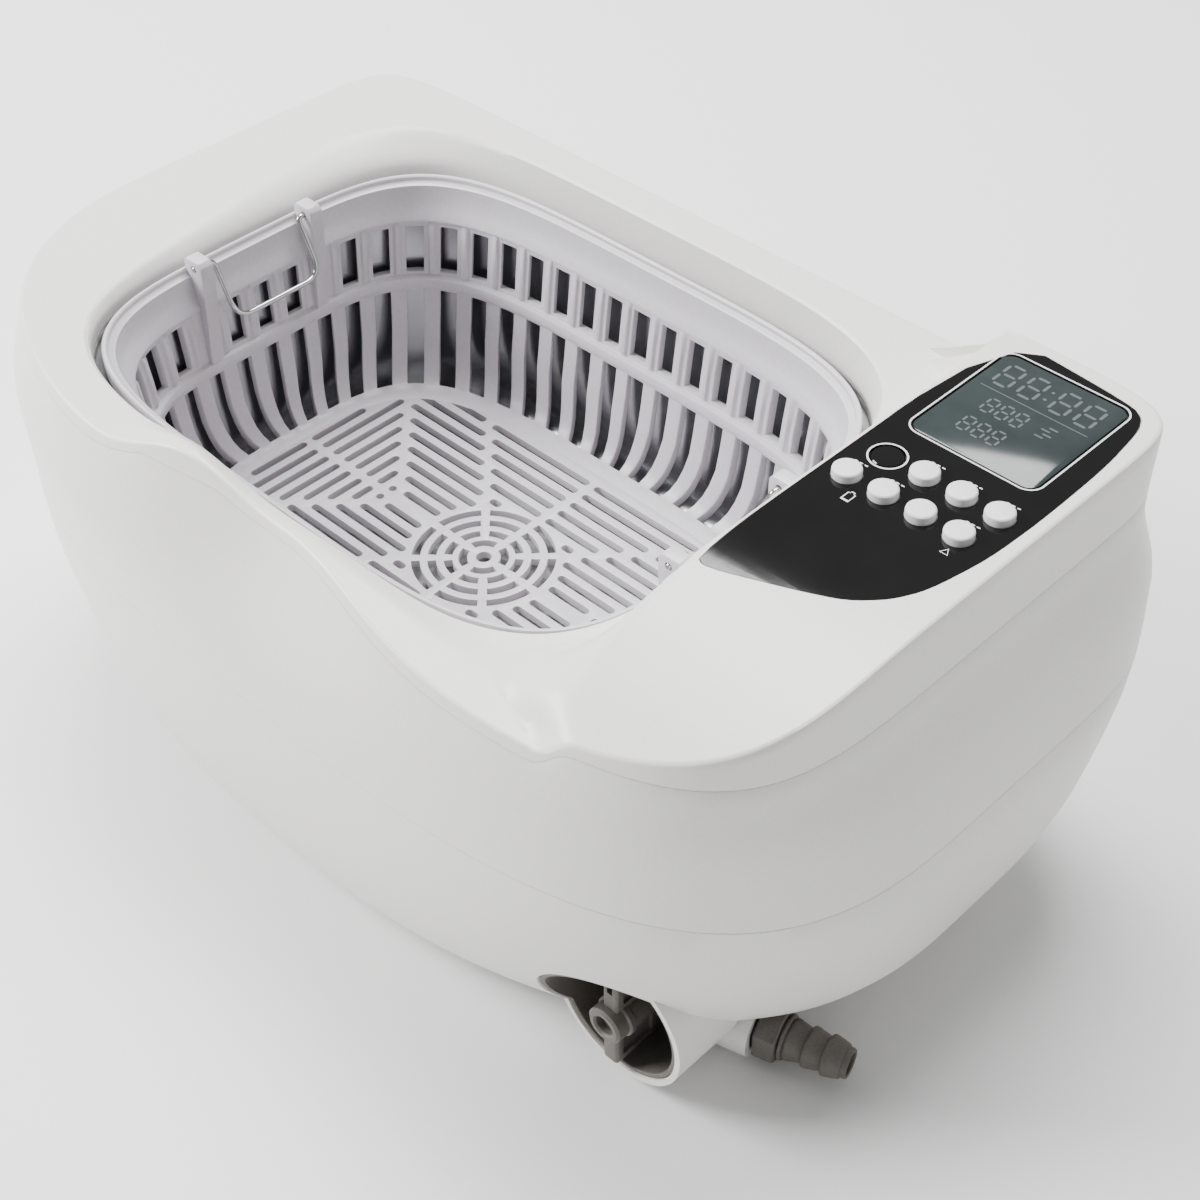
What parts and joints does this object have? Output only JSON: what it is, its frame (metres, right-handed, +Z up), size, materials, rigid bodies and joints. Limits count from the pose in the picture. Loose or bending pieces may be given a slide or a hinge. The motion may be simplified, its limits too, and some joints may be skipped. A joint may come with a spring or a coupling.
{
  "type": "ultrasonic cleaner",
  "caption": "Bench-top ultrasonic cleaner: stainless tank in a white housing with a lift-out slotted basket on wire bails, a button panel with display, and a drain valve with hose barb.",
  "frame": {"origin": "on the bench under the middle of the whole object", "axes": "+Z up, -Y the low scooped front, +X the end with the control deck and the drain outlet"},
  "size_m": [0.389, 0.234, 0.1776],
  "materials": {
    "shell": "satin",
    "stainless": "satin",
    "rubber": "matte",
    "screw": "bright",
    "silicone": "matte",
    "transducer": "turned",
    "valve_grey": "matte",
    "board": "matte",
    "iron": "varnished",
    "screen": "matte",
    "window": "gloss",
    "panel": "gloss",
    "button": "satin",
    "socket": "matte",
    "basket": "satin",
    "wire": "bright"
  },
  "bodies": {
    "body": {"top_cover": "shell", "upper_housing": "shell", "lower_housing": "shell", "base_plate": "stainless", "foot_1": "rubber", "foot_2": "rubber", "foot_3": "rubber", "foot_4": "rubber", "base_screw_1": "screw", "base_screw_2": "screw", "base_screw_3": "screw", "base_screw_4": "screw", "tank": "stainless", "tank_gasket": "silicone", "heater_pad": "silicone", "transducer_left": "transducer", "transducer_right": "transducer", "drain_elbow": "valve_grey", "drain_hose": "silicone", "valve_body": "valve_grey", "valve_dish": "valve_grey", "hose_nut": "valve_grey", "hose_barb": "valve_grey", "main_board": "board", "transformer": "iron", "display_board": "board", "lcd_module": "screen", "display_window": "window", "panel_overlay": "panel", "indicator_lens": "panel", "inlet_socket": "socket"},
    "basket": {"basket": "basket"},
    "handle_left": {"handle_left": "wire"},
    "handle_right": {"handle_right": "wire"},
    "valve_knob": {"valve_knob": "valve_grey"},
    "button_1": {"button_1": "button"},
    "button_2": {"button_2": "button"},
    "button_3": {"button_3": "button"},
    "button_4": {"button_4": "button"},
    "button_5": {"button_5": "button"},
    "button_6": {"button_6": "button"},
    "button_7": {"button_7": "button"}
  },
  "joints": [
    {"name": "basket_lift", "type": "slide", "parent": "body", "child": "basket", "axis": [0, 0, 1], "range_m": [0, 0.12]},
    {"name": "handle_left_swing", "type": "hinge", "parent": "basket", "child": "handle_left", "pos_m": [-0.1281, 0.001, 0.1482], "axis": [0, -1, 0], "range_deg": [0, 155]},
    {"name": "handle_right_swing", "type": "hinge", "parent": "basket", "child": "handle_right", "pos_m": [0.0951, 0.001, 0.1482], "axis": [0, 1, 0], "range_deg": [0, 155]},
    {"name": "valve_turn", "type": "hinge", "parent": "body", "child": "valve_knob", "pos_m": [0.1325, -0.079, 0.028], "axis": [0, -1, 0], "range_deg": [0, 90]},
    {"name": "button_1_press", "type": "slide", "parent": "body", "child": "button_1", "axis": [0, 0, -1], "range_m": [0, 0.0012], "stiffness_N_per_m": 800},
    {"name": "button_2_press", "type": "slide", "parent": "body", "child": "button_2", "axis": [0, 0, -1], "range_m": [0, 0.0012], "stiffness_N_per_m": 800},
    {"name": "button_3_press", "type": "slide", "parent": "body", "child": "button_3", "axis": [0, 0, -1], "range_m": [0, 0.0012], "stiffness_N_per_m": 800},
    {"name": "button_4_press", "type": "slide", "parent": "body", "child": "button_4", "axis": [0, 0, -1], "range_m": [0, 0.0012], "stiffness_N_per_m": 800},
    {"name": "button_5_press", "type": "slide", "parent": "body", "child": "button_5", "axis": [0, 0, -1], "range_m": [0, 0.0012], "stiffness_N_per_m": 800},
    {"name": "button_6_press", "type": "slide", "parent": "body", "child": "button_6", "axis": [0, 0, -1], "range_m": [0, 0.0012], "stiffness_N_per_m": 800},
    {"name": "button_7_press", "type": "slide", "parent": "body", "child": "button_7", "axis": [0, 0, -1], "range_m": [0, 0.0012], "stiffness_N_per_m": 800}
  ]
}
